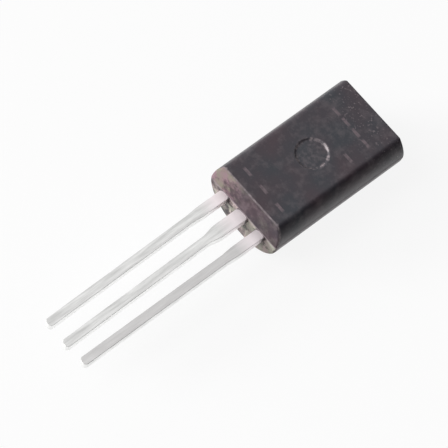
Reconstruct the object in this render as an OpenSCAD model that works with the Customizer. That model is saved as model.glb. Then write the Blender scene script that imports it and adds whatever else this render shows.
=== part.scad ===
// Long-body TO-92 transistor: a moulded D-section body on three in-line leads, lying on its
// round back. +Z is the flat face's outward normal, +Y runs to the body's closed end, the leads
// point to -Y, and X is to the right as the flat face is read with the leads down.

/* [Moulded body] */
// Width across the round back, which is also the back's diameter
body_w = 4.7; // [4.5:0.02:5]
// Thickness from the flat face to the flattened crown of the back
body_t = 3.62; // [3.4:0.02:3.8]
// Length at the parting plane, where the two mould halves met
body_l = 8.05; // [7.4:0.05:8.5]
// Lean of the front half's end face on the lead side, degrees
seat_lean = 9.5; // [3:0.5:12]
// Lean of the front half's end face on the closed side, degrees
crown_lean = 6; // [3:0.5:12]
// Lean of the back half's two end faces, degrees
back_lean = 3.5; // [2:0.5:6]
// Radius of the long edges beside the flat face
face_edge_r = 0.14; // [0.08:0.01:0.2]
// Bevel along the flat face's two short edges
face_bevel = 0.1; // [0.05:0.01:0.15]
// Radius of the rim round each end of the back, which runs out before the flattened crown
end_edge_r = 0.12; // [0.08:0.01:0.2]
// Width of the flattened crown along the back, which the part lies on
crown_w = 1.1; // [0.8:0.05:1.5]

/* [Marks of the mould] */
// Diameter of the round ejector mark in the flat face
ejector_d = 1.65; // [1.2:0.05:1.8]
// Depth of the ejector mark
ejector_depth = 0.08; // [0.03:0.01:0.12]
// Height of the ejector mark's centre above the lead end
ejector_y = 4.04; // [3.4:0.02:4.6]
// Width of the broken gate on the closed end
gate_w = 1.1; // [0.6:0.1:1.6]
// Thickness of the gate, below the parting plane
gate_t = 0.3; // [0.2:0.05:0.4]
// Height that the gate's stub stands proud of the closed end
gate_proud = 0.06; // [0.02:0.01:0.12]

/* [Leads] */
// Distance between neighbouring leads, centre to centre
lead_pitch = 1.27; // [1.2:0.01:1.35]
// Thickness of the sheet that the leadframe is stamped from
sheet_t = 0.42; // [0.35:0.01:0.5]
// Width of a lead's long straight stretch
lead_w = 0.45; // [0.38:0.01:0.5]
// Width of the two outer leads where they leave the body
outer_root_w = 0.55; // [0.5:0.01:0.65]
// Width of the middle lead where it leaves the body
middle_root_w = 0.7; // [0.6:0.01:0.8]
// Length of the wide root outside the body
root_l = 1.6; // [1.2:0.1:2]
// Length over which the root narrows to the straight stretch
taper_l = 0.6; // [0.3:0.1:0.9]
// Length of the emitter lead outside the body
emitter_out = 10.8; // [8:0.05:14]
// Length of the collector lead outside the body
collector_out = 10.85; // [8:0.05:14]
// Length of the base lead outside the body
base_out = 10.75; // [8:0.05:14]
// Sideways drift of the emitter and collector tips
tip_drift = 0.1; // [0:0.02:0.2]
// Corner cut at a lead's tip by the trimming tool
tip_bevel = 0.08; // [0.02:0.01:0.12]

/* [Leadframe inside the body] */
// Length of the root inside the body, up to the anchor notch
anchor_l = 0.7; // [0.5:0.05:0.9]
// Width of an outer post at its anchor notch
notch_w = 0.38; // [0.3:0.01:0.42]
// Length of the anchor notch
notch_l = 0.5; // [0.3:0.05:0.6]
// Width of the bonding head of an outer post
head_w = 0.92; // [0.8:0.02:1]
// Length of the bonding head
head_l = 1.2; // [0.9:0.05:1.4]
// Corner cut on the heads and the pad
head_bevel = 0.15; // [0.05:0.05:0.2]
// Gap between the bonding heads and the die pad
pad_gap = 0.35; // [0.25:0.05:0.5]
// Width of the die pad
pad_w = 2.5; // [2:0.1:2.8]
// Length of the die pad
pad_l = 3.4; // [3:0.1:3.8]
// Diameter of the hole that locks the pad in the moulding
lock_d = 0.8; // [0.5:0.1:1]
// Distance from the lock hole's centre to the pad's far edge
lock_inset = 0.75; // [0.7:0.05:0.9]

/* [Die and bonds] */
// Side of the square silicon die
die_w = 0.9; // [0.7:0.05:1.1]
// Thickness of the die
die_t = 0.22; // [0.15:0.01:0.3]
// Distance from the die to the pad's near edge
die_inset = 0.45; // [0.3:0.05:0.6]
// Thickness of the solder under the die
solder_t = 0.04; // [0.02:0.01:0.06]
// Width of the solder that shows round the die
solder_rim = 0.08; // [0.04:0.01:0.12]
// Diameter of the gold bond wire
wire_d = 0.05; // [0.04:0.005:0.06]
// Height of a wire's arch above the line between its ends
wire_rise = 0.42; // [0.3:0.02:0.5]
// Diameter of the ball bond on the die
ball_d = 0.14; // [0.12:0.01:0.18]
// Thickness of the ball bond
ball_t = 0.07; // [0.06:0.01:0.09]
// Diameter of the stitch bond on a post
stitch_d = 0.18; // [0.14:0.01:0.22]
// Thickness of the stitch bond
stitch_t = 0.06; // [0.06:0.01:0.08]
// Distance of each ball bond from the die's centre line
ball_x = 0.2; // [0.1:0.02:0.3]

/* [Hidden] */
$fn = 72;
// Reach of a cutting shape past the face that it cuts
slack = 1;

// The round back's axis lies in the parting plane, above the flattened crown at z = 0
back_r = body_w / 2;
parting_z = sqrt(pow(back_r, 2) - pow(crown_w / 2, 2));
flat_z = body_t;
front_h = flat_z - parting_z;

// The longest lead and the gate's stub set the length, which is centred on the origin
longest_out = max(emitter_out, collector_out, base_out);
seat_y = (longest_out - body_l - gate_proud) / 2;

// How far each end face falls back from the parting plane's edge
seat_fall = front_h * tan(seat_lean);
crown_fall = front_h * tan(crown_lean);
back_fall = parting_z * tan(back_lean);

// Centre of the circle that rounds a long edge, touching the flat face and the back from inside
face_edge_z = front_h - face_edge_r;
face_edge_x = sqrt(pow(back_r - face_edge_r, 2) - pow(face_edge_z, 2));
// The end rim's circle stands this far out, so that it crosses the faces instead of brushing them
rim_offset = 0.003;
rim_x = back_r - end_edge_r + rim_offset;
rim_y = end_edge_r - rim_offset;

// The leadframe lies behind the parting plane, flush with it
sheet_z = parting_z - sheet_t;
head_y = seat_y + anchor_l + notch_l;
pad_y = head_y + head_l + pad_gap;
lock_y = pad_y + pad_l - lock_inset;
die_y = pad_y + die_inset + die_w / 2;
die_z = parting_z + solder_t;
die_top_z = die_z + die_t;
stitch_y = head_y + head_l / 2;

// Lays a plan outline down as sheet, or stands a section up along Y
module stamped() translate([0, 0, sheet_z]) linear_extrude(sheet_t) children();
module along_y(length) translate([0, length, 0]) rotate([90, 0, 0]) linear_extrude(length) children();
module across_x(width) {
  translate([-width / 2, 0, 0]) rotate([90, 0, 90]) linear_extrude(width) children();
}

// What is cut off one long edge, in the section's own axes with the back's centre at the origin
module long_edge_waste() {
  out = 1 + slack;
  difference() {
    polygon([
      [face_edge_x, face_edge_z],
      [face_edge_x, front_h + slack],
      [face_edge_x * out, front_h + slack],
      [face_edge_x * out, face_edge_z * out]
    ]);
    translate([face_edge_x, face_edge_z]) circle(face_edge_r);
  }
}

// The D-section: a full round cut by the flat face and the crown, with softened corners
module d_section() {
  difference() {
    circle(back_r);
    translate([-back_r, front_h]) square([body_w, back_r]);
    translate([-back_r, -parting_z - slack]) square([body_w, slack]);
    long_edge_waste();
    mirror([1, 0]) long_edge_waste();
  }
}

// The body seen from its side: both halves lean away from the parting plane
module side_profile() {
  seat_rise = face_bevel * tan(seat_lean);
  crown_rise = face_bevel * tan(crown_lean);
  polygon([
    [back_fall, 0],
    [0, parting_z],
    [seat_fall - seat_rise, flat_z - face_bevel],
    [seat_fall + face_bevel, flat_z],
    [body_l - crown_fall - face_bevel, flat_z],
    [body_l - crown_fall + crown_rise, flat_z - face_bevel],
    [body_l, parting_z],
    [body_l - back_fall, 0]
  ]);
}

// What is cut off the rim of the end at y = 0 to round it
module rim_waste() {
  rotate([-90, 0, 0]) rotate_extrude() difference() {
    translate([rim_x, -slack]) square([end_edge_r + slack, rim_y + slack]);
    translate([rim_x, rim_y]) circle(end_edge_r);
  }
}

module gate_stub() {
  translate([-gate_w / 2, body_l - slack, parting_z - gate_t]) cube([gate_w, slack + gate_proud, gate_t]);
}

module body_blank() {
  translate([0, seat_y, 0]) {
    difference() {
      intersection() {
        translate([0, 0, parting_z]) along_y(body_l) d_section();
        across_x(body_w + slack) side_profile();
      }
      translate([0, 0, parting_z]) rim_waste();
      translate([0, body_l, parting_z]) mirror([0, 1, 0]) rim_waste();
      translate([0, ejector_y, flat_z - ejector_depth]) cylinder(h = ejector_depth + slack, d = ejector_d);
    }
    gate_stub();
  }
}

// Plan of a lead's outer stretch: wide root, taper, straight run with its drift, trimmed tip
module free_lead(root_w, out, drift) {
  straight_y = -root_l - taper_l;
  translate([0, seat_y]) polygon([
    [-root_w / 2, slack / 4],
    [-root_w / 2, -root_l],
    [-lead_w / 2, straight_y],
    [drift - lead_w / 2, tip_bevel - out],
    [drift - lead_w / 2 + tip_bevel, -out],
    [drift + lead_w / 2 - tip_bevel, -out],
    [drift + lead_w / 2, tip_bevel - out],
    [lead_w / 2, straight_y],
    [root_w / 2, -root_l],
    [root_w / 2, slack / 4]
  ]);
}

// A rectangle in plan with its corners cut, standing on y and centred on x = 0
module bevelled_plate(y, width, length) {
  translate([0, y]) polygon([
    [head_bevel - width / 2, 0],
    [width / 2 - head_bevel, 0],
    [width / 2, head_bevel],
    [width / 2, length - head_bevel],
    [width / 2 - head_bevel, length],
    [head_bevel - width / 2, length],
    [-width / 2, length - head_bevel],
    [-width / 2, head_bevel]
  ]);
}

// An outer lead with its anchor notch and its bonding head
module outer_lead(out, drift) {
  stamped() {
    free_lead(outer_root_w, out, drift);
    translate([-outer_root_w / 2, seat_y]) square([outer_root_w, anchor_l]);
    translate([-notch_w / 2, seat_y]) square([notch_w, anchor_l + notch_l + head_bevel]);
    bevelled_plate(head_y, head_w, head_l);
  }
}

module middle_lead() {
  stamped() difference() {
    union() {
      free_lead(middle_root_w, collector_out, tip_drift);
      translate([-middle_root_w / 2, seat_y]) square([middle_root_w, pad_y - seat_y + head_bevel]);
      bevelled_plate(pad_y, pad_w, pad_l);
    }
    translate([0, lock_y]) circle(d = lock_d);
  }
}

module solder_layer() {
  side = die_w + 2 * solder_rim;
  translate([-side / 2, die_y - side / 2, parting_z]) cube([side, side, solder_t]);
}

module die_block() {
  translate([-die_w / 2, die_y - die_w / 2, die_z]) cube([die_w, die_w, die_t]);
}

// A bond wire from the die to an outer post, with a ball at the die and a stitch on the post.
// side is -1 for the emitter and 1 for the base.
module bond_wire(side) {
  ball_at = [side * ball_x, die_y, die_top_z];
  stitch_at = [side * lead_pitch, stitch_y, parting_z];
  from = ball_at + [0, 0, ball_t / 2];
  to = stitch_at + [0, 0, stitch_t / 2];
  reach = norm([to.x - from.x, to.y - from.y]);
  span = norm(to - from);
  arch_r = (pow(span / 2, 2) + pow(wire_rise, 2)) / (2 * wire_rise);
  half_angle = asin(span / 2 / arch_r);
  translate(ball_at) cylinder(h = ball_t, d = ball_d);
  translate(stitch_at) cylinder(h = stitch_t, d = stitch_d);
  translate(from)
    rotate([0, -atan2(to.z - from.z, reach), atan2(to.y - from.y, to.x - from.x)])
      translate([span / 2, 0, wire_rise - arch_r])
        rotate([90, 0, 0])
          rotate_extrude(angle = 2 * half_angle, start = 90 - half_angle)
            translate([arch_r, 0]) circle(d = wire_d, $fn = 24);
}

module emitter_shape() translate([-lead_pitch, 0, 0]) outer_lead(emitter_out, tip_drift);
module base_shape() translate([lead_pitch, 0, 0]) outer_lead(base_out, 0);

// Black epoxy, moulded round everything that it holds
module moulded_body() color([0.16, 0.155, 0.17]) difference() {
  body_blank();
  emitter_shape();
  middle_lead();
  base_shape();
  solder_layer();
  die_block();
  bond_wire(-1);
  bond_wire(1);
}

// Tinned copper alloy leads
module emitter_lead() color([0.82, 0.81, 0.79]) emitter_shape();
module collector_lead() color([0.82, 0.81, 0.79]) middle_lead();
module base_lead() color([0.82, 0.81, 0.79]) base_shape();

// Solder that holds the die on its pad
module die_solder() color([0.6, 0.6, 0.62]) solder_layer();

// Silicon
module transistor_die() color([0.38, 0.4, 0.48]) die_block();

// Gold
module emitter_wire() color([0.9, 0.72, 0.3]) bond_wire(-1);
module base_wire() color([0.9, 0.72, 0.3]) bond_wire(1);

moulded_body();
emitter_lead();
collector_lead();
base_lead();
die_solder();
transistor_die();
emitter_wire();
base_wire();
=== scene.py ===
# %% [markdown]
# # A long-body TO-92 transistor
#
# The real part is a black epoxy block, moulded round a stamped and tinned leadframe. It lies on its
# round back with the flat face up, and its three leads point away from the closed end. This lesson
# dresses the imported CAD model: the moulding and the three leads are made again with soft edges, and
# the die, its solder and the two bond wires keep their CAD meshes and get proper finishes.

import bpy
import numpy as np
from mathutils import Matrix, Vector


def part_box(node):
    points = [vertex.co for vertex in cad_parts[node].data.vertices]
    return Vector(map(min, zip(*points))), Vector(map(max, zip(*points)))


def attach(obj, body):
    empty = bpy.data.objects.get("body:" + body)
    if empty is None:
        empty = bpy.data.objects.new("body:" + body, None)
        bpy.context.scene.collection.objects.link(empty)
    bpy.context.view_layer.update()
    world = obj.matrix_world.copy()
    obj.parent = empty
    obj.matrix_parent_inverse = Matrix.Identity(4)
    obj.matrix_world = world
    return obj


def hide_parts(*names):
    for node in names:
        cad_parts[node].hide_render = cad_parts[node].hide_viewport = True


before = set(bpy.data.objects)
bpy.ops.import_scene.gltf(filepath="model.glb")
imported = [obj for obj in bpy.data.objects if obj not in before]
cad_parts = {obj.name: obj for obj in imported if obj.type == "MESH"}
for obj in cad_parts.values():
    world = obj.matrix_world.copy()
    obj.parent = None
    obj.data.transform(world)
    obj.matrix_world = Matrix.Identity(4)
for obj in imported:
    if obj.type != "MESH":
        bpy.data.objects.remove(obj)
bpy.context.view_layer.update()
MM = 0.001

# %% [markdown]
# ## The camera
#
# The photo is a long-lens picture from 62 degrees above the table. The camera was found by fitting
# the corners of the moulding, the lead exits and the lead tips: it stands about 172 mm away, and
# this long focal length keeps the leads almost parallel. Its optical axis passes through the middle
# of the picture, so no lens shift is needed. That middle lies to the left of the body's centre and
# below it, on the middle lead's root.

# %% Camera
SEAT_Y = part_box("moulded_body")[0].y / MM
FLAT_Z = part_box("moulded_body")[1].z / MM
AIM_FROM = np.array([-0.02, SEAT_Y + 4.0, FLAT_Z - 1.9])
IMAGE_RIGHT = np.array([0.6498, 0.7477, 0.1367])
IMAGE_UP = np.array([-0.7148, 0.5399, 0.4444])
TO_VIEWER = np.array([0.2585, -0.3865, 0.8853])
MIDDLE_LEFT, MIDDLE_DOWN = 3.831, 2.461
CAMERA_AWAY = 172.4
SENSOR_W = 36.0
FIELD_W = 21.058


def aim_camera():
    """Stands the camera on the line from the body's centre to the viewer and turns it to the
    picture's middle. The focal length is the sensor's width times the distance over the field's."""
    stand = AIM_FROM + CAMERA_AWAY * TO_VIEWER
    middle = AIM_FROM - MIDDLE_LEFT * IMAGE_RIGHT - MIDDLE_DOWN * IMAGE_UP
    back = (stand - middle) / np.linalg.norm(stand - middle)
    right = np.cross(IMAGE_UP, back)
    right /= np.linalg.norm(right)
    up = np.cross(back, right)
    lens = bpy.data.cameras.new("photo_camera")
    lens.sensor_width = SENSOR_W
    lens.lens = SENSOR_W * CAMERA_AWAY / FIELD_W
    lens.clip_start = 0.01
    lens.clip_end = 10
    camera = bpy.data.objects.new("photo_camera", lens)
    turn = Matrix(np.column_stack([right, up, back]).tolist()).to_4x4()
    camera.matrix_world = Matrix.Translation(Vector(stand * MM)) @ turn
    bpy.context.scene.collection.objects.link(camera)
    bpy.context.scene.camera = camera
    return camera


camera = aim_camera()
print("camera", [round(x, 4) for x in camera.location], "lens", round(camera.data.lens, 1), "mm")

# %% [markdown]
# ## From arrays to meshes
#
# Every new piece is a grid of points: one index runs round the piece, the other along it. Two
# neighbouring rows and columns make one four-sided face, so the faces can be counted out as whole
# arrays too. A helper turns such a grid into a closed mesh with outward faces.


# %% Grid helpers
def ring_faces(rows, columns):
    """Quads between successive closed rings: corner (i, j), (i, j+1), (i+1, j+1), (i+1, j)."""
    i, j = np.meshgrid(np.arange(rows - 1), np.arange(columns), indexing="ij")
    after = (j + 1) % columns
    quads = [i * columns + j, i * columns + after, (i + 1) * columns + after, (i + 1) * columns + j]
    return np.stack(quads, axis=-1).reshape(-1, 4)


def fan_faces(ring, centre):
    """Triangles from one centre vertex to a closed ring of vertices."""
    return np.column_stack([ring, np.roll(ring, -1), np.full(len(ring), centre)])


def mesh_piece(name, points, *face_groups):
    """Makes a smooth-shaded mesh object from points in millimetres and lists of faces."""
    faces = [face.tolist() for group in face_groups for face in group]
    mesh = bpy.data.meshes.new(name)
    mesh.from_pydata((np.asarray(points) * MM).tolist(), [], faces)
    mesh.validate()
    mesh.shade_smooth()
    piece = bpy.data.objects.new(name, mesh)
    bpy.context.scene.collection.objects.link(piece)
    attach(piece, "root")
    return piece


# %% [markdown]
# ## The moulding
#
# Two mould halves meet at the parting plane. Each half leans inward from there so that the part
# comes out of the mould, and a thin line of flash marks where they met. A boolean of a cylinder and
# some boxes would give the shape but hard edges. Here the skin is drawn as one stack of outlines
# instead, from the centre of the round ejector mark, over the flat face, down the sides and
# under the back. Each outline is a rectangle in plan whose half width is the D-section's at that
# height, so every edge can have its own soft radius. Heights are counted from the parting plane.

# %% Sizes of the moulding
BACK_R = 2.35
CROWN_W = 1.1
BODY_L = 8.05
PARTING_Z = np.sqrt(BACK_R**2 - (CROWN_W / 2) ** 2)
FRONT_H = FLAT_Z - PARTING_Z
SEAT_LEAN, CROWN_LEAN, BACK_LEAN = 9.5, 6.0, 3.5
LONG_EDGE_R = 0.32
SEAT_EDGE_R, CROWN_EDGE_R = 0.13, 0.06
RIM_R = 0.09
FLASH_PROUD = 0.02
FLASH_HALF_W, FLASH_TIP_H = 0.045, 0.015
ABOVE_FLASH = 0.05
EJECTOR_R = 0.825
EJECTOR_DEPTH = 0.08
EJECTOR_WALL_W = 0.1
EJECTOR_DOME = 0.012
EJECTOR_Y = SEAT_Y + 4.04
# The pale share on the ejector mark's wall is highest on this side, whose wall faces the low lamp, so it is
# partly a painted highlight.
LIT_WALL_SIDE = (0.8, 0.6)
WALL_SOFT, SHADED_WALL_LIFT, FLOOR_SCRAPED = 0.065, 0.55, 0.16
SEAT_FULL, SEAT_FADE = 0.03, 0.1
print("parting plane at", round(PARTING_Z, 4), "mm, seat end at", round(SEAT_Y, 4), "mm")


# %% The skin of the moulding
def roll_in(depth, radius):
    """How far a round edge stands back at a depth below the edge's own face: r minus the root of
    r squared minus (r minus depth) squared, and nothing once the depth passes the radius."""
    left = np.clip(radius - np.maximum(depth, 0), 0, radius)
    return radius - np.sqrt(radius**2 - left**2)


def lean_in(height, front_lean):
    """How far a leaning end stands back: the distance from the parting plane times the tangent of
    the lean, which on the back half is the same for both ends."""
    lean = np.where(height > 0, np.tan(np.radians(front_lean)), np.tan(np.radians(BACK_LEAN)))
    return np.abs(height) * lean


def side_levels():
    """Heights and half widths of the outlines, from the flat face's edge down to the crown.
    The long edge is an arc, and below it the half width is the root of r squared minus z squared."""
    arc_z = FRONT_H - LONG_EDGE_R
    arc_x = np.sqrt((BACK_R - LONG_EDGE_R) ** 2 - arc_z**2)
    turn = np.linspace(0, np.arctan2(arc_x, arc_z), 9)
    arc = np.column_stack([arc_z + LONG_EDGE_R * np.cos(turn), arc_x + LONG_EDGE_R * np.sin(turn)])
    front = np.linspace(arc[-1, 0], ABOVE_FLASH, 11)[1:]
    flash = np.array([FLASH_HALF_W, FLASH_TIP_H, -FLASH_TIP_H, -FLASH_HALF_W])
    down = 1 - (1 - np.linspace(0, 1, 46)[1:]) ** 2
    back = -FLASH_HALF_W - (PARTING_Z - FLASH_HALF_W) * down
    z = np.concatenate([front, flash, back])
    x = np.sqrt(BACK_R**2 - np.minimum(z**2, BACK_R**2 - (CROWN_W / 2) ** 2))
    x[np.isclose(np.abs(z), FLASH_TIP_H)] += FLASH_PROUD
    return np.concatenate([arc, np.column_stack([z, x])])


def outline_at(height, half_w, across, along):
    """One closed outline per height: along the seat end, up the right side, back along the closed
    end and down the left side. An end stands at its leaning plane plus the roll of the near edges,
    which is the cube root of the sum of their cubes."""
    z = height[:, None]
    w = half_w[:, None]
    x = w * np.sign(across) * (1 - (1 - np.abs(across)) ** 2)
    rim = roll_in(BACK_R - np.hypot(x, z), RIM_R)
    under = roll_in(z + PARTING_Z, RIM_R)
    seat_roll = np.cbrt(rim**3 + roll_in(FRONT_H - z, SEAT_EDGE_R) ** 3 + under**3)
    crown_roll = np.cbrt(rim**3 + roll_in(FRONT_H - z, CROWN_EDGE_R) ** 3 + under**3)
    y0 = SEAT_Y + lean_in(z, SEAT_LEAN) + seat_roll
    y1 = SEAT_Y + BODY_L - lean_in(z, CROWN_LEAN) - crown_roll
    side_y = y0[:, -1:] + (y1[:, -1:] - y0[:, -1:]) * along
    right = np.broadcast_to(w, side_y.shape)
    plan_x = np.concatenate([x, right, x[:, ::-1], -right], axis=1)
    plan_y = np.concatenate([y0, side_y, y1, side_y[:, ::-1]], axis=1)
    return np.stack([plan_x, plan_y, np.broadcast_to(z + PARTING_Z, plan_x.shape)], axis=-1)


def ejector_profile():
    """Radius and height above the flat of the ejector mark: a slightly domed floor, a hollow fillet,
    a wall at 45 degrees and a worn, rounded lip."""
    floor_r = EJECTOR_R - EJECTOR_WALL_W
    floor = np.column_stack([np.linspace(0.1, 0.93, 8) * floor_r, np.full(8, -EJECTOR_DEPTH)])
    floor[:, 1] += EJECTOR_DOME * (1 - (floor[:, 0] / floor_r) ** 2)
    outward = np.array([0, 0.02, 0.038, 0.06, 0.08, 0.1, 0.125, 0.16])
    upward = np.array([0.002, 0.008, 0.02, 0.042, 0.06, 0.072, 0.079, 0.08])
    wall = np.column_stack([floor_r + outward, upward - EJECTOR_DEPTH])
    return np.concatenate([floor, wall])


def seat_share(points):
    """How much each point belongs to the lead end: one on the leaning plane and just behind it, and
    falling to nothing over the next tenth of a millimetre."""
    behind = points[..., 1] - SEAT_Y - lean_in(points[..., 2] - PARTING_Z, SEAT_LEAN)
    return np.clip(1 - (behind - SEAT_FULL) / SEAT_FADE, 0, 1)


def wall_wear_and_highlight(points):
    """How pale the ejector mark is drawn at each point, partly worn filler and partly painted highlight:
    most at the middle of the wall that faces the low lamp, less by the cosine round the wall, never
    below a least share that paints light into the wall's shaded side, and a little all over the floor."""
    beside, ahead = points[..., 0], points[..., 1] - EJECTOR_Y
    away = np.maximum(np.hypot(beside, ahead), 1e-6)
    facing_lamp = (LIT_WALL_SIDE[0] * beside + LIT_WALL_SIDE[1] * ahead) / away
    off_middle = np.abs(away - EJECTOR_R + EJECTOR_WALL_W / 2)
    round_wall = np.clip(0.35 + 0.9 * facing_lamp, SHADED_WALL_LIFT, 1)
    wall = np.clip(1.5 - off_middle / WALL_SOFT, 0, 1) * round_wall
    worn_and_lit = np.maximum(wall, FLOOR_SCRAPED * (away < EJECTOR_R - EJECTOR_WALL_W))
    return worn_and_lit * (points[..., 2] > FLAT_Z - 2 * EJECTOR_DEPTH)


def give_share(piece, name, values):
    """Stores one number for each point of a piece, which its finish can read."""
    kept = piece.data.attributes.new(name, "FLOAT", "POINT")
    kept.data.foreach_set("value", values.astype(np.float32))


def moulding_points():
    """Stacks the rings: ejector mark, flat face, sides, back and crown. On the flat each ring is a
    straight blend from the mark's circle to the face's edge, and below the crown from edge to middle."""
    levels = side_levels()
    across = np.linspace(-1, 1, 37)
    along = np.linspace(0, 1, 74)[1:-1]
    sides = outline_at(levels[:, 0], levels[:, 1], across, along)
    edge = sides[0]
    centre = np.array([0, EJECTOR_Y, FLAT_Z])
    spoke = edge - centre
    spoke /= np.linalg.norm(spoke, axis=1, keepdims=True)
    mark = ejector_profile()
    lift = mark[:, 1:] * [0, 0, 1]
    rings = centre + mark[:, :1, None] * spoke + lift[:, None]
    share = np.concatenate([np.linspace(0, 1, 14)[1:-1] ** 0.8, [0.985]])[:, None, None]
    flat = rings[-1] * (1 - share) + edge * share
    crown = sides[-1]
    middle = np.array([0, crown[:, 1].mean(), crown[0, 2]])
    under = middle + (crown - middle) * np.array([0.97, 0.8, 0.55, 0.3, 0.12])[:, None, None]
    stack = np.concatenate([rings, flat, sides, under])
    tips = np.array([[0, EJECTOR_Y, FLAT_Z - EJECTOR_DEPTH + EJECTOR_DOME], middle])
    return stack, tips


stack, tips = moulding_points()
rows, columns = stack.shape[:2]
points = np.concatenate([stack.reshape(-1, 3), tips])
first = np.arange(columns)
moulding = mesh_piece(
    "moulding",
    points,
    ring_faces(rows, columns)[:, ::-1],
    fan_faces(first, rows * columns),
    fan_faces(first + (rows - 1) * columns, rows * columns + 1)[:, ::-1],
)
give_share(moulding, "seat_share", seat_share(points))
give_share(moulding, "wall_wear_and_highlight", wall_wear_and_highlight(points))
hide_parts("moulded_body")
print("moulding", rows, "rings of", columns, "points,", len(moulding.data.polygons), "faces")

# %% [markdown]
# ## The gate's stub
#
# The epoxy ran into the mould through a narrow gate in the closed end. When the part was broken off
# the runner, a low rough stub stayed behind. It could be a displaced box, but a broken face is just a
# height map, so it is drawn as one: a small sheet of heights with a rounded fall at its edges.

# %% Gate stub
GATE_W, GATE_T, GATE_PROUD = 1.1, 0.3, 0.06
GATE_WORN, GATE_SUNK, GATE_BACK = 0.012, 0.12, 0.1
CLOSED_Y = SEAT_Y + BODY_L


def gate_points(rows=15, columns=41):
    """A sheet over the gate: the stub's height plus a wave and a little seeded roughness, sunk at the
    edges by the larger of the eighth power of the distance along it and the sixth power across."""
    rng = np.random.default_rng(7)
    u = np.linspace(-1, 1, columns)
    v = np.linspace(-1, 1, rows)
    uu, vv = np.meshgrid(u, v)
    rough = 0.010 * np.sin(5.1 * uu + 1.3) * np.cos(3.7 * vv) + 0.007 * rng.normal(size=uu.shape)
    fall = np.maximum(np.abs(uu) ** 8, np.abs(vv) ** 6)
    broken = GATE_PROUD - GATE_WORN + np.clip(rough, -0.03, 0.01)
    height = broken * (1 - fall) - GATE_SUNK * fall
    z = PARTING_Z - GATE_T / 2 + vv * GATE_T / 2
    return np.stack([uu * GATE_W / 2, CLOSED_Y + height, z], -1)


def sheet_with_back(front, depth):
    """Closes a sheet of points by a second sheet behind it, joined along all four edges."""
    rows, columns = front.shape[:2]
    behind = front.copy()
    behind[..., 1] = front[..., 1].min() - depth
    i, j = np.meshgrid(np.arange(rows - 1), np.arange(columns - 1), indexing="ij")
    a = i * columns + j
    face = np.stack([a, a + columns, a + columns + 1, a + 1], -1).reshape(-1, 4)
    n = rows * columns
    rim = np.concatenate([
        np.arange(columns),
        np.arange(1, rows) * columns + columns - 1,
        (rows - 1) * columns + np.arange(columns - 1)[::-1],
        np.arange(1, rows - 1)[::-1] * columns,
    ])
    wall = np.stack([rim, np.roll(rim, -1), np.roll(rim, -1) + n, rim + n], -1)
    return np.concatenate([front.reshape(-1, 3), behind.reshape(-1, 3)]), [face, face[:, ::-1] + n, wall]


gate_sheet, gate_faces = sheet_with_back(gate_points(), GATE_BACK)
gate = mesh_piece("gate_stub", gate_sheet, *gate_faces)
print("gate stub", len(gate.data.polygons), "faces")

# %% [markdown]
# ## The three leads
#
# The leads are stamped out of one strip of copper alloy and tinned. The punch rolls the sheet's edges
# over a little, and the corners of the outline keep the small radius of the tool. So a lead is an
# outline with softened corners, carried up through the sheet's thickness on a profile with round
# edges. The parts inside the moulding, where the wires and the die are bonded, belong to the same
# pieces and are drawn with them.

# %% Sizes of the leads
SHEET_T = 0.42
SHEET_Z = PARTING_Z - SHEET_T
PITCH = 1.27
LEAD_W, OUTER_ROOT_W, MIDDLE_ROOT_W = 0.45, 0.55, 0.7
ROOT_L, TAPER_L, TIP_DRIFT, TIP_BEVEL = 1.6, 0.6, 0.1, 0.12
LEAD_OUT = {"emitter": 10.8, "collector": 10.85, "base": 10.75}
ANCHOR_L, NOTCH_W, NOTCH_L = 0.7, 0.38, 0.5
HEAD_W, HEAD_L, HEAD_BEVEL = 0.92, 1.2, 0.15
PAD_GAP, PAD_W, PAD_L, LOCK_D, LOCK_INSET = 0.35, 2.5, 3.4, 0.8, 0.75
PAD_Y = ANCHOR_L + NOTCH_L + HEAD_L + PAD_GAP
ROLL_R = 0.018
TOOL_R = 0.07


def soften(corners, cut=TOOL_R, steps=5):
    """Replaces each corner by a curve from a cut before it to a cut after it: the square of what is
    left times the start, plus twice the product times the corner, plus the square of what is done
    times the end."""
    before = np.roll(corners, 1, axis=0) - corners
    after = np.roll(corners, -1, axis=0) - corners
    room = np.minimum(np.linalg.norm(before, axis=1), np.linalg.norm(after, axis=1))
    reach = np.minimum(cut, 0.45 * room)[:, None]
    start = corners + before / np.linalg.norm(before, axis=1, keepdims=True) * reach
    end = corners + after / np.linalg.norm(after, axis=1, keepdims=True) * reach
    t = np.linspace(0, 1, steps)[None, :, None]
    curve = (1 - t) ** 2 * start[:, None] + 2 * t * (1 - t) * corners[:, None] + t**2 * end[:, None]
    return curve.reshape(-1, 2)


def inward(outline):
    """Unit direction to the inside at each point of an outline that runs counterclockwise."""
    step = np.roll(outline, -1, axis=0) - np.roll(outline, 1, axis=0)
    step /= np.linalg.norm(step, axis=1, keepdims=True)
    return np.column_stack([-step[:, 1], step[:, 0]])


def edge_profile():
    """Inset and height of the sheet's edge from below to above: flat, roll, wall, roll, flat."""
    turn = np.linspace(0, np.pi / 2, 5)
    under = np.column_stack([ROLL_R * (1 - np.sin(turn)), 0.8 * ROLL_R * (1 - np.cos(turn))])
    over = np.column_stack([under[::-1, 0], SHEET_T - ROLL_R * (1 - np.cos(turn[::-1]))])
    return np.concatenate([[[ROLL_R * 1.25, 0]], under, over, [[ROLL_R * 1.25, SHEET_T]]])


def carried_up(outline):
    """The outline repeated at each inset and height of the edge profile."""
    profile = edge_profile()
    plan = outline + profile[:, :1, None] * inward(outline)
    height = np.broadcast_to(SHEET_Z + profile[:, 1][:, None], plan.shape[:2])
    return np.concatenate([plan, height[..., None]], axis=-1)


def lead_side(root_w, out, drift):
    """The right side of a lead from the middle of its tip up to the moulding."""
    return [[drift, -out], [drift + LEAD_W / 2 - TIP_BEVEL, -out], [drift + LEAD_W / 2, TIP_BEVEL - out],
            [LEAD_W / 2, -ROOT_L - TAPER_L], [root_w / 2, -ROOT_L]]


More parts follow.
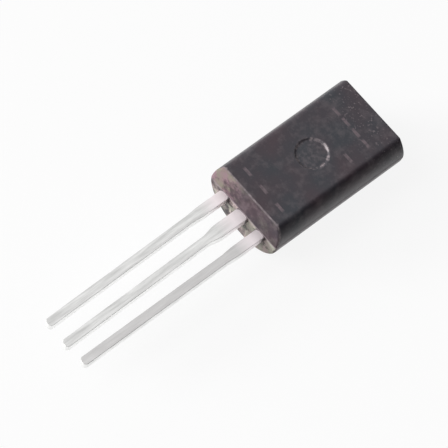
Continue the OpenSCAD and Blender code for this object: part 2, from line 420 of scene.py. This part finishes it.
def head_side():
    """The right side of an outer lead inside the moulding, up to the middle of its head's far edge."""
    low, far = ANCHOR_L + NOTCH_L, ANCHOR_L + NOTCH_L + HEAD_L
    return [[OUTER_ROOT_W / 2, ANCHOR_L], [NOTCH_W / 2, ANCHOR_L], [NOTCH_W / 2, low],
            [HEAD_W / 2 - HEAD_BEVEL, low], [HEAD_W / 2, low + HEAD_BEVEL], [HEAD_W / 2, far - HEAD_BEVEL],
            [HEAD_W / 2 - HEAD_BEVEL, far], [0, far]]


def pad_side():
    """The right side of the middle lead inside the moulding, up to the middle of its pad's far edge."""
    far = PAD_Y + PAD_L
    return [[MIDDLE_ROOT_W / 2, PAD_Y], [PAD_W / 2 - HEAD_BEVEL, PAD_Y], [PAD_W / 2, PAD_Y + HEAD_BEVEL],
            [PAD_W / 2, far - HEAD_BEVEL], [PAD_W / 2 - HEAD_BEVEL, far], [0, far]]


def whole_outline(outer, inner, drift):
    """Both sides of a lead: the right one, and the left one as its mirror image. The mirrored tip is
    shifted by twice the drift, so that it drifts to the same side."""
    right = np.array(outer + inner)
    left = right[1:-1][::-1] * [-1, 1]
    at_tip = left[:, 1] < -ROOT_L - TAPER_L - 0.5
    left[at_tip, 0] += 2 * drift
    return soften(np.concatenate([right, left]) + [0, SEAT_Y])


def stamped_lead(name, node, outline, shift, hole=None):
    """A lead as a closed mesh. Its two flat faces are single faces, or two each beside a hole."""
    body = carried_up(outline + [shift, 0])
    rows, n = body.shape[:2]
    points, groups = [body.reshape(-1, 3)], [ring_faces(rows, n)]
    ring = np.arange(n)
    if hole is None:
        groups += [ring[None, ::-1], ring[None] + (rows - 1) * n]
    else:
        inner = carried_up(hole[::-1] + [shift, 0])
        m = len(hole)
        base = rows * n
        points.append(inner.reshape(-1, 3))
        groups.append(ring_faces(rows, m) + base)
        tip, far = 2, n // 2 + 2
        hole_ring = base + np.arange(m)
        right_hole = np.take(hole_ring, np.arange(m // 4, 3 * m // 4 + 1))
        left_hole = np.take(hole_ring, np.arange(3 * m // 4, m + m // 4 + 1), mode="wrap")
        right = np.concatenate([ring[tip:far + 1], right_hole[::-1]])
        left = np.concatenate([ring[far:], ring[:tip + 1], left_hole[::-1]])
        top_right = np.where(right < base, right + (rows - 1) * n, right + (rows - 1) * m)
        top_left = np.where(left < base, left + (rows - 1) * n, left + (rows - 1) * m)
        groups += [right[None, ::-1], left[None, ::-1], top_right[None], top_left[None]]
    piece = mesh_piece(name, np.concatenate(points), *groups)
    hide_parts(node)
    return piece


def ring_of_hole(count=48):
    """A circle round the lock hole's centre, counterclockwise from the right."""
    turn = np.arange(count) / count * 2 * np.pi
    centre = np.array([0, SEAT_Y + PAD_Y + PAD_L - LOCK_INSET])
    return centre + LOCK_D / 2 * np.column_stack([np.cos(turn), np.sin(turn)])


# %% Leads
emitter = stamped_lead(
    "emitter_strip", "emitter_lead",
    whole_outline(lead_side(OUTER_ROOT_W, LEAD_OUT["emitter"], TIP_DRIFT), head_side(), TIP_DRIFT), -PITCH)
base = stamped_lead(
    "base_strip", "base_lead",
    whole_outline(lead_side(OUTER_ROOT_W, LEAD_OUT["base"], 0), head_side(), 0), PITCH)
collector = stamped_lead(
    "collector_strip", "collector_lead",
    whole_outline(lead_side(MIDDLE_ROOT_W, LEAD_OUT["collector"], TIP_DRIFT), pad_side(), TIP_DRIFT), 0,
    ring_of_hole())
for lead in (emitter, collector, base):
    print(lead.name, len(lead.data.vertices), "points", len(lead.data.polygons), "faces")

# %% [markdown]
# ## Resin collars
#
# Where a lead leaves the mould, a skin of resin creeps out along it. It creeps further at the lead's
# two edges than along the middle, which is why the bright root of each lead seems to end in a round
# arch. A shader could fake that with a dark patch, but from the side it would look painted on, so
# each collar is a thin closed sleeve: a few loops round the root, joined front to back and outside
# to inside.

# %% Collars
COLLAR_T = 0.025
COLLAR_OUT, COLLAR_ARCH, COLLAR_IN = 0.02, 0.14, 0.15
COLLAR_GRIP = 0.01
COLLAR_DUST = 0.1


def collar_points(shift, half_w, steps=96):
    """Loops round the root, each a superellipse of the eighth power. The front lip stands further
    out by the fourth power of the distance from the root's middle."""
    turn = np.linspace(0, 2 * np.pi, steps, endpoint=False)
    across = np.sign(np.cos(turn)) * np.abs(np.cos(turn)) ** 0.25
    up = np.sign(np.sin(turn)) * np.abs(np.sin(turn)) ** 0.25
    lip = SEAT_Y - COLLAR_OUT - COLLAR_ARCH * across**4
    behind = np.full(steps, SEAT_Y + COLLAR_IN)
    off = np.array([COLLAR_T, COLLAR_T, 0.6 * COLLAR_T, -COLLAR_GRIP, -COLLAR_GRIP])[:, None]
    y = np.stack([behind, lip + 0.03, lip, lip + 0.01, behind])
    x = shift + across * (half_w + off)
    z = SHEET_Z + SHEET_T / 2 + up * (SHEET_T / 2 + off)
    return np.stack([x, y, z], axis=-1)


def resin_collar(name, shift, root_w):
    """A sleeve whose last loop joins its first, so the row index runs round modulo the loop count."""
    loops = collar_points(shift, root_w / 2)
    rows, columns = loops.shape[:2]
    collar = mesh_piece(name, loops.reshape(-1, 3), ring_faces(rows + 1, columns) % (rows * columns))
    give_share(collar, "seat_share", np.full(rows * columns, COLLAR_DUST))
    return collar


collars = [resin_collar("emitter_collar", -PITCH, OUTER_ROOT_W),
           resin_collar("collector_collar", 0, MIDDLE_ROOT_W),
           resin_collar("base_collar", PITCH, OUTER_ROOT_W)]
print("collars", [len(collar.data.polygons) for collar in collars], "faces")

# %% [markdown]
# ## Finishes
#
# Each finish starts from the real material. Colours are written as they look on a screen and turned
# to linear light by one function. One other function adds a node with its settings and links.


# %% Colour and node helpers
def linear(hex_colour):
    """sRGB to linear: a twelfth or so of the value in the dark, a power of 2.4 above."""
    value = np.array([int(hex_colour[i:i + 2], 16) for i in (0, 2, 4)]) / 255
    light = np.where(value <= 0.04045, value / 12.92, ((value + 0.055) / 1.055) ** 2.4)
    return (*light.tolist(), 1.0)


def add_node(tree, kind, values=None, links=None, **settings):
    """Adds a node, sets its properties and sockets, and links (node, output) pairs into its inputs."""
    node = tree.nodes.new(kind)
    for name, value in settings.items():
        setattr(node, name, value)
    for socket, value in (values or {}).items():
        node.inputs[socket].default_value = value
    for socket, (source, output) in (links or {}).items():
        tree.links.new(source.outputs[output], node.inputs[socket])
    return node


def new_finish(name, **sockets):
    """A material with one Principled shader and a coordinate vector in millimetres."""
    material = bpy.data.materials.new(name)
    material.use_nodes = True
    tree = material.node_tree
    shader = tree.nodes["Principled BSDF"]
    for socket, value in sockets.items():
        shader.inputs[socket.replace("_", " ")].default_value = value
    place = add_node(tree, "ShaderNodeTexCoord")
    in_mm = add_node(tree, "ShaderNodeMapping", {"Scale": (1 / MM,) * 3}, {"Vector": (place, "Object")})
    return material, tree, shader, in_mm


def coat_with(material, *pieces):
    """Gives pieces that finish as their only one."""
    for piece in pieces:
        piece.data.materials.clear()
        piece.data.materials.append(material)


# %% [markdown]
# ### Moulded epoxy
#
# The housing is epoxy filled with fused silica and blackened with carbon, pressed in a spark-eroded
# steel mould. The mould's fine grain makes it satin. The index of the filled resin is about 1.5. Real
# grain is a hundredth of a millimetre, too fine to show, so it is drawn four times as coarse. Black
# resin is never quite neutral: it drifts between a warm and a cool grey over a few millimetres.

# %% Epoxy colour
epoxy, tree, shader, in_mm = new_finish("moulded_epoxy", IOR=1.5)
axes = add_node(tree, "ShaderNodeSeparateXYZ", None, {0: (in_mm, 0)})
cloud = add_node(tree, "ShaderNodeTexNoise", {"Scale": 0.45, "Detail": 3.0}, {"Vector": (in_mm, 0)})
warmth = add_node(tree, "ShaderNodeMapRange", {"From Min": 0.35, "From Max": 0.65}, {"Value": (cloud, 0)})
resin = add_node(tree, "ShaderNodeMix", {6: linear("3A2D34"), 7: linear("2B2D34")}, {0: (warmth, 0)},
                 data_type="RGBA")

# %% [markdown]
# The lead end was sheared clean of flash and is rough, so it keeps a film of mould release and
# dust. The film is patchy, mauve in some places and olive in others, and lighter than dust alone, so
# it is partly dust and partly painted sheen, the light that this rough end catches. On the front half
# it is thicker towards the emitter's side, and on the back half it is paler, partly as a painted
# reflection of the white table below, and thicker towards the base's side. There it is darkened
# beside each lead, as painted shade from the leads. The share of each point that belongs to the lead
# end comes from the mesh itself, as an attribute.

# %% Dusty lead end, with painted sheen and painted shade beside the leads
is_seat = add_node(tree, "ShaderNodeAttribute", attribute_name="seat_share")
back_half = add_node(tree, "ShaderNodeMapRange", {"From Min": PARTING_Z + 0.04, "From Max": PARTING_Z - 0.04},
                     {"Value": (axes, 2)})
# The film is lighter than dust alone: partly dust and partly painted sheen, the light that this rough end
# catches.
front_film_and_sheen = add_node(tree, "ShaderNodeMapRange",
                      {"From Min": -1.9, "From Max": -0.4, "To Min": 1.3, "To Max": 0.12},
                      {"Value": (axes, 0)})
back_film_and_sheen = add_node(tree, "ShaderNodeMapRange",
                     {"From Min": -1.9, "From Max": 0.6, "To Min": 0.7, "To Max": 2.6},
                     {"Value": (axes, 0)})
cover = add_node(tree, "ShaderNodeMix", None, {0: (back_half, 0), 2: (front_film_and_sheen, 0), 3: (back_film_and_sheen, 0)},
                 data_type="FLOAT")
blotch = add_node(tree, "ShaderNodeTexNoise", {"Scale": 2.3, "Detail": 4.0, "Roughness": 0.6},
                  {"Vector": (in_mm, 0)})
patchy = add_node(tree, "ShaderNodeMapRange",
                  {"From Min": 0.4, "From Max": 0.6, "To Min": 0.2, "To Max": 1.4},
                  {"Value": (blotch, 0)})
film_and_sheen = add_node(tree, "ShaderNodeMath", None, {0: (cover, 0), 1: (patchy, 0)}, operation="MULTIPLY")
# Painted shade: on the back half the film is darkened beside each lead, where the leads shade the lead end.
from_lead = add_node(tree, "ShaderNodeMath", {1: -PITCH / 2, 2: PITCH / 2}, {0: (axes, 0)}, operation="WRAP")
beside = add_node(tree, "ShaderNodeMath", None, {0: (from_lead, 0)}, operation="ABSOLUTE")
painted_shade_beside_leads = add_node(tree, "ShaderNodeMapRange",
                    {"From Min": 0.3, "From Max": 0.46, "To Min": 0.25, "To Max": 1.0},
                    {"Value": (beside, 0)})
lead_shade_on_back_half = add_node(tree, "ShaderNodeMix", {2: 1.0}, {0: (back_half, 0), 3: (painted_shade_beside_leads, 0)},
                          data_type="FLOAT")
film_with_lead_shade = add_node(tree, "ShaderNodeMath", None, {0: (film_and_sheen, 0), 1: (lead_shade_on_back_half, 0)}, operation="MULTIPLY")
dust_and_sheen = add_node(tree, "ShaderNodeMath", None, {0: (film_with_lead_shade, 0), 1: (is_seat, "Fac")}, operation="MULTIPLY",
                use_clamp=True)
hue = add_node(tree, "ShaderNodeTexNoise", {"Scale": 1.6, "Detail": 4.0}, {"Vector": (in_mm, 0)})
olive = add_node(tree, "ShaderNodeMapRange", {"From Min": 0.42, "From Max": 0.62}, {"Value": (hue, 0)})
front_tone = add_node(tree, "ShaderNodeMix", {6: linear("886E75"), 7: linear("7C7969")}, {0: (olive, 0)},
                      data_type="RGBA")
# The back half's paler tones are partly dust and partly a painted reflection of the white table below.
back_tone = add_node(tree, "ShaderNodeMix", {6: linear("AC9C9A"), 7: linear("A5A497")}, {0: (olive, 0)},
                     data_type="RGBA")
dust_and_sheen_tone = add_node(tree, "ShaderNodeMix", None, {0: (back_half, 0), 6: (front_tone, 2), 7: (back_tone, 2)},
                     data_type="RGBA")
with_dust_and_sheen = add_node(tree, "ShaderNodeMix", None, {0: (dust_and_sheen, 0), 6: (resin, 2), 7: (dust_and_sheen_tone, 2)},
                 data_type="RGBA")

# %% [markdown]
# Wherever the skin of the moulding is broken, the pale filler shows: on the thin flash along the
# parting line, on the wall of the ejector mark and on the chipped rim of the lead end, and as specks
# that crowd towards the closed end. On that wall and that rim the pale colour is also a painted
# highlight, brightest where they face the low lamp. Fingers leave fainter smudges everywhere.
# Where two kinds of pale mark meet, the stronger one counts.

# %% Flash line, mark, rim and specks
from_parting = add_node(tree, "ShaderNodeMath", {1: PARTING_Z}, {0: (axes, 2)}, operation="SUBTRACT")
apart = add_node(tree, "ShaderNodeMath", None, {0: (from_parting, 0)}, operation="ABSOLUTE")
flash_line = add_node(tree, "ShaderNodeMapRange", {"From Min": 0.07, "From Max": 0.03, "To Max": 0.8},
                      {"Value": (apart, 0)})
# The ejector mark's pale wall: partly worn filler, partly a painted highlight where the wall faces the low
# lamp, with painted light lifting its shaded side.
on_wall = add_node(tree, "ShaderNodeAttribute", attribute_name="wall_wear_and_highlight")
chip = add_node(tree, "ShaderNodeTexNoise", {"Scale": 6.0, "Detail": 3.0}, {"Vector": (in_mm, 0)})
chipped = add_node(tree, "ShaderNodeMapRange",
                   {"From Min": 0.44, "From Max": 0.66, "To Min": 0.12, "To Max": 1.3},
                   {"Value": (chip, 0)})
wall = add_node(tree, "ShaderNodeMath", None, {0: (on_wall, "Fac"), 1: (chipped, 0)}, operation="MULTIPLY",
                use_clamp=True)
# The pale line round the lead end's rim: partly chipped wear, partly a painted highlight along the edge that
# catches the low lamp.
off_seat = add_node(tree, "ShaderNodeMath", {0: 1.0}, {1: (is_seat, "Fac")}, operation="SUBTRACT")
half_way = add_node(tree, "ShaderNodeMath", None, {0: (off_seat, 0), 1: (is_seat, "Fac")},
                    operation="MULTIPLY")
rim_wear_and_glint = add_node(tree, "ShaderNodeMapRange",
                    {"From Min": 0.4, "From Max": 0.6, "To Min": 1.2, "To Max": 3.2},
                    {"Value": (chip, 0)})
worn_and_lit_rim = add_node(tree, "ShaderNodeMath", None, {0: (half_way, 0), 1: (rim_wear_and_glint, 0)}, operation="MULTIPLY")
smudge = add_node(tree, "ShaderNodeMapRange", {"From Min": 0.48, "From Max": 0.68, "To Max": 0.16},
                  {"Value": (blotch, 0)})
fine = add_node(tree, "ShaderNodeTexNoise", {"Scale": 9.0, "Detail": 2.0}, {"Vector": (in_mm, 0)})
dot = add_node(tree, "ShaderNodeMapRange", {"From Min": 0.6, "From Max": 0.74, "To Max": 0.6},
               {"Value": (fine, 0)})
far_end = add_node(tree, "ShaderNodeMapRange",
                   {"From Min": SEAT_Y + 5.6, "From Max": SEAT_Y + 7.2, "To Min": 0.12},
                   {"Value": (axes, 1)})
speck = add_node(tree, "ShaderNodeMath", None, {0: (dot, 0), 1: (far_end, 0)}, operation="MULTIPLY")
bare_and_lit = smudge
for pale_mark in (speck, wall, worn_and_lit_rim, flash_line):
    bare_and_lit = add_node(tree, "ShaderNodeMath", None, {0: (bare_and_lit, 0), 1: (pale_mark, 0)}, operation="MAXIMUM")
filler_and_highlight = add_node(tree, "ShaderNodeMix", {7: linear("8A7F82")}, {0: (bare_and_lit, 0), 6: (with_dust_and_sheen, 2)},
                  data_type="RGBA")

# %% [markdown]
# A few short plain dashes of pale ink are stamped on the flat face and have worn to a faded pinkish
# grey. Thin raised pieces would be too thick for ink, so the dashes are drawn in the finish: each is
# the part of the face where the larger of the two scaled distances from its centre is under one.

# %% Plain dashes of ink
DASH_HALF_W, DASH_HALF_H = 0.25, 0.075
DASHES = [(-0.97, 6.4), (-0.27, 6.4), (0.43, 6.4), (1.13, 6.4),
          (1.2, 5.24), (-1.1, 1.0), (0.05, 1.0), (1.2, 1.0)]


def dash_distance(beside, ahead):
    """The larger of the distances along and across a dash, each divided by its half size."""
    centred = add_node(tree, "ShaderNodeMapping",
                       {"Location": (-beside / DASH_HALF_W, -(SEAT_Y + ahead) / DASH_HALF_H, 0),
                        "Scale": (1 / DASH_HALF_W, 1 / DASH_HALF_H, 0)},
                       {"Vector": (in_mm, 0)})
    sides = add_node(tree, "ShaderNodeVectorMath", None, {0: (centred, 0)}, operation="ABSOLUTE")
    parts = add_node(tree, "ShaderNodeSeparateXYZ", None, {0: (sides, 0)})
    return add_node(tree, "ShaderNodeMath", None, {0: (parts, 0), 1: (parts, 1)}, operation="MAXIMUM")


nearest = dash_distance(*DASHES[0])
for dash in DASHES[1:]:
    nearest = add_node(tree, "ShaderNodeMath", None, {0: (nearest, 0), 1: (dash_distance(*dash), 0)},
                       operation="MINIMUM")
inked = add_node(tree, "ShaderNodeMapRange", {"From Min": 1.2, "From Max": 0.8}, {"Value": (nearest, 0)})
faded = add_node(tree, "ShaderNodeMapRange",
                 {"From Min": 0.38, "From Max": 0.6, "To Min": 0.35, "To Max": 0.85},
                 {"Value": (chip, 0)})
print_share = add_node(tree, "ShaderNodeMath", None, {0: (inked, 0), 1: (faded, 0)}, operation="MULTIPLY")
on_flat = add_node(tree, "ShaderNodeMapRange", {"From Min": FLAT_Z - 0.04, "From Max": FLAT_Z - 0.01},
                   {"Value": (axes, 2)})
ink_share = add_node(tree, "ShaderNodeMath", None, {0: (print_share, 0), 1: (on_flat, 0)},
                     operation="MULTIPLY")
skin = add_node(tree, "ShaderNodeMix", {7: linear("6E6166")}, {0: (ink_share, 0), 6: (filler_and_highlight, 2)},
                data_type="RGBA")
print("ink dashes", len(DASHES))

# %% [markdown]
# Gloss is what handling changes most. The grain is rubbed smoother in clouds a few millimetres wide,
# and the sheared lead end is almost matt.

# %% Gloss and grain
worn = add_node(tree, "ShaderNodeMapRange",
                {"From Min": 0.3, "From Max": 0.7, "To Min": 0.36, "To Max": 0.46},
                {"Value": (cloud, 0)})
matt = add_node(tree, "ShaderNodeMix", {3: 0.88}, {0: (is_seat, "Fac"), 2: (worn, 0)}, data_type="FLOAT")
grain = add_node(tree, "ShaderNodeTexNoise", {"Scale": 25.0, "Detail": 2.0}, {"Vector": (in_mm, 0)})
relief = add_node(tree, "ShaderNodeBump", {"Strength": 0.5, "Distance": 0.000006}, {"Height": (grain, 0)})
tree.links.new(skin.outputs[2], shader.inputs["Base Color"])
tree.links.new(matt.outputs[0], shader.inputs["Roughness"])
tree.links.new(relief.outputs[0], shader.inputs["Normal"])
coat_with(epoxy, moulding, gate, *collars)

# %% [markdown]
# ### Tinned lead
#
# Matt tin, plated on the stamped strip and then handled: a pale neutral grey metal, rough enough
# that it mirrors only in streaks. The streaks run along the strip, as the rolling of the sheet left
# them. The top face is streaky grey, while the sides and the underside are painted near white, a
# painted reflection of the white table beside them. The base lead's top is painted greyer, standing
# in for its duller reflection. Close to the moulding the plating is drawn whiter, with a hint of pink.

# %% Tin
tin, tree, shader, in_mm = new_finish("matt_tin_plating", Metallic=1.0)
stretched = add_node(tree, "ShaderNodeMapping", {"Scale": (7.0, 0.5, 7.0)}, {"Vector": (in_mm, 0)})
streak = add_node(tree, "ShaderNodeTexNoise", {"Scale": 1.0, "Detail": 4.0, "Roughness": 0.65},
                  {"Vector": (stretched, 0)})
patch = add_node(tree, "ShaderNodeTexNoise", {"Scale": 1.4, "Detail": 3.0}, {"Vector": (in_mm, 0)})
handled = add_node(tree, "ShaderNodeMapRange", {"From Min": 0.32, "From Max": 0.68}, {"Value": (streak, 0)})
axes = add_node(tree, "ShaderNodeSeparateXYZ", None, {0: (in_mm, 0)})
# Painted shade: the base lead's top is drawn greyer, standing in for its duller reflection.
on_base = add_node(tree, "ShaderNodeMapRange",
                   {"From Min": 0.5 * PITCH, "From Max": 0.7 * PITCH, "To Max": 0.6}, {"Value": (axes, 0)})
scuffed = add_node(tree, "ShaderNodeMix", {6: linear("C2C2C1"), 7: linear("E6E6E5")}, {0: (handled, 0)},
                   data_type="RGBA")
greyer = add_node(tree, "ShaderNodeMix", {7: linear("C0BEBE")}, {0: (on_base, 0), 6: (scuffed, 2)},
                  data_type="RGBA")
# Painted reflection: everything below the top face is drawn near white, standing in for the white table that
# the sides mirror.
top_face = add_node(tree, "ShaderNodeMapRange", {"From Min": PARTING_Z - 0.03, "From Max": PARTING_Z - 0.01},
                    {"Value": (axes, 2)})
tin_with_bright_sides = add_node(tree, "ShaderNodeMix", {6: linear("FAFAF9")}, {0: (top_face, 0), 7: (greyer, 2)},
                    data_type="RGBA")
# The plating close to the moulding is drawn whiter, with a hint of pink.
near_moulding = add_node(tree, "ShaderNodeMapRange",
                 {"From Min": SEAT_Y - 1.5, "From Max": SEAT_Y - 0.6, "To Max": 0.95}, {"Value": (axes, 1)})
shade = add_node(tree, "ShaderNodeMix", {7: linear("F6EEF0")}, {0: (near_moulding, 0), 6: (tin_with_bright_sides, 2)},
                 data_type="RGBA")
satin = add_node(tree, "ShaderNodeMapRange",
                 {"From Min": 0.3, "From Max": 0.7, "To Min": 0.4, "To Max": 0.56},
                 {"Value": (patch, 0)})
relief = add_node(tree, "ShaderNodeBump", {"Strength": 0.6, "Distance": 0.00001}, {"Height": (streak, 0)})
tree.links.new(shade.outputs[2], shader.inputs["Base Color"])
tree.links.new(satin.outputs[0], shader.inputs["Roughness"])
tree.links.new(relief.outputs[0], shader.inputs["Normal"])
coat_with(tin, emitter, collector, base)

# %% [markdown]
# ### What is sealed inside
#
# The die is sawn silicon, grey with a blue cast. The soft solder under it is a dull lead-tin grey, and
# the bond wires are drawn gold. Nobody sees them in the closed part, but they are there when it is
# opened up. Each colour drifts in soft clouds between two close tones.

# %% Inner finishes
INNER = [
    ("soft_solder", {"Metallic": 1.0, "Roughness": 0.42}, 6.0, "9A9A9E", "B9B9BD", ["die_solder"]),
    ("sawn_silicon", {"Roughness": 0.18, "IOR": 3.4}, 3.0, "4C5466", "5E667A", ["transistor_die"]),
    ("drawn_gold_wire", {"Metallic": 1.0, "Roughness": 0.22}, 30.0, "E0B452", "F2CC72",
     ["emitter_wire", "base_wire"]),
]
for name, sockets, cloud_scale, dark, light, nodes in INNER:
    finish, tree, shader, in_mm = new_finish(name, **sockets)
    mottle = add_node(tree, "ShaderNodeTexNoise", {"Scale": cloud_scale}, {"Vector": (in_mm, 0)})
    shade = add_node(tree, "ShaderNodeMix", {6: linear(dark), 7: linear(light)}, {0: (mottle, 0)},
                     data_type="RGBA")
    tree.links.new(shade.outputs[2], shader.inputs["Base Color"])
    coat_with(finish, *[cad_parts[node] for node in nodes])
print("finishes", sorted(m.name for m in bpy.data.materials))

# %% [markdown]
# ## The table and the light
#
# The photo is a cut-out on white. A white table runs off in every direction, and the camera sees it
# as white, while it still takes the object's shadow. What the object mirrors matters as much: the
# black band along the right side is the unlit end of the room, and the pale stripe below it is the
# table close by. So in reflections the table is white near the part and dark further to the right,
# and the sky is white overhead and falls off to dark on that side.

# %% Reflected room
ROOM_BRIGHT, ROOM_DARK = 1.0, 0.03


def fall_towards(tree, source, direction, start, end):
    """How bright the room looks in a mirror: bright until the dot product with a direction reaches
    the start, dark past the end, and a straight fall between the two."""
    turned = add_node(tree, "ShaderNodeVectorMath", {1: direction}, {0: source}, operation="DOT_PRODUCT")
    return add_node(tree, "ShaderNodeMapRange",
                    {"From Min": start, "From Max": end, "To Min": ROOM_BRIGHT, "To Max": ROOM_DARK},
                    {"Value": (turned, "Value")})


def plain_for_camera(tree, mirrored, for_camera, otherwise):
    """One level for camera and see-through rays, the mirrored level for glossy ones, another else.
    The mirrored level is a number or a (node, output) pair."""
    values, links = {2: otherwise}, {}
    (links if isinstance(mirrored, tuple) else values)[3] = mirrored
    ray = add_node(tree, "ShaderNodeLightPath")
    direct = add_node(tree, "ShaderNodeMath", None,
                      {0: (ray, "Is Camera Ray"), 1: (ray, "Is Transmission Ray")}, operation="MAXIMUM")
    glossy = add_node(tree, "ShaderNodeMix", values, {0: (ray, "Is Glossy Ray"), **links},
                      data_type="FLOAT")
    return add_node(tree, "ShaderNodeMix", {3: for_camera}, {0: (direct, 0), 2: (glossy, 0)},
                    data_type="FLOAT")


# %% Table
TABLE_HALF = 400 * MM

white, tree, shader, in_mm = new_finish("white_table", Roughness=0.9)
shader.inputs["Base Color"].default_value = linear("F4F4F4")
nearby = fall_towards(tree, (in_mm, 0), (1.0, 0.0, 0.0), 4.8, 8.8)
glow_level = plain_for_camera(tree, (nearby, 0), 1.0, 0.0)
glow = add_node(tree, "ShaderNodeEmission", None, {"Strength": (glow_level, 0)})
glow_share = plain_for_camera(tree, 1.0, 0.88, 0.0)
lit = add_node(tree, "ShaderNodeMixShader", None, {0: (glow_share, 0), 1: (shader, 0), 2: (glow, 0)})
tree.links.new(lit.outputs[0], tree.nodes["Material Output"].inputs["Surface"])

corners = [(i * TABLE_HALF, j * TABLE_HALF, 0) for i, j in ((-1, -1), (1, -1), (1, 1), (-1, 1))]
table = bpy.data.meshes.new("table")
table.from_pydata(corners, [], [(0, 1, 2, 3)])
floor = bpy.data.objects.new("table", table)
bpy.context.scene.collection.objects.link(floor)
coat_with(white, floor)

# %% [markdown]
# The low lamp stands to the left of the picture, where the bright crescent in the ejector mark and
# the pale line along the seat's edge point back to it. A weaker lamp higher up fills the flat face.
# Neither stands where the flat face would mirror it into the camera.

# %% Sky and lamps
bpy.context.scene.view_settings.view_transform = "Standard"
sky = bpy.data.worlds.new("studio")
bpy.context.scene.world = sky
sky.use_nodes = True
tree = sky.node_tree
direction = add_node(tree, "ShaderNodeTexCoord")
overhead = fall_towards(tree, (direction, "Generated"), (0.9, 0.42, 0.1), 0.2, 0.74)
sky_level = plain_for_camera(tree, (overhead, 0), 1.0, 0.25)
tree.links.new(sky_level.outputs[0], tree.nodes["Background"].inputs["Strength"])
tree.nodes["Background"].inputs["Color"].default_value = (1, 1, 1, 1)

LIT_POINT = Vector((0, 2 * MM, 2 * MM))
LAMP_AWAY = 400


def add_lamp(name, direction, size, watts):
    """A square lamp of a size in millimetres, off the part in that direction and facing it."""
    lamp = bpy.data.lights.new(name, "AREA")
    lamp.size = size * MM
    lamp.energy = watts
    stand = bpy.data.objects.new(name, lamp)
    toward = Vector(direction).normalized()
    stand.location = LIT_POINT + toward * LAMP_AWAY * MM
    stand.rotation_euler = toward.to_track_quat("Z", "Y").to_euler()
    bpy.context.scene.collection.objects.link(stand)
    return stand


add_lamp("low_key", (-0.62, -0.74, 0.36), 150, 1.4)
add_lamp("high_fill", (-0.35, -0.55, 0.9), 200, 0.6)
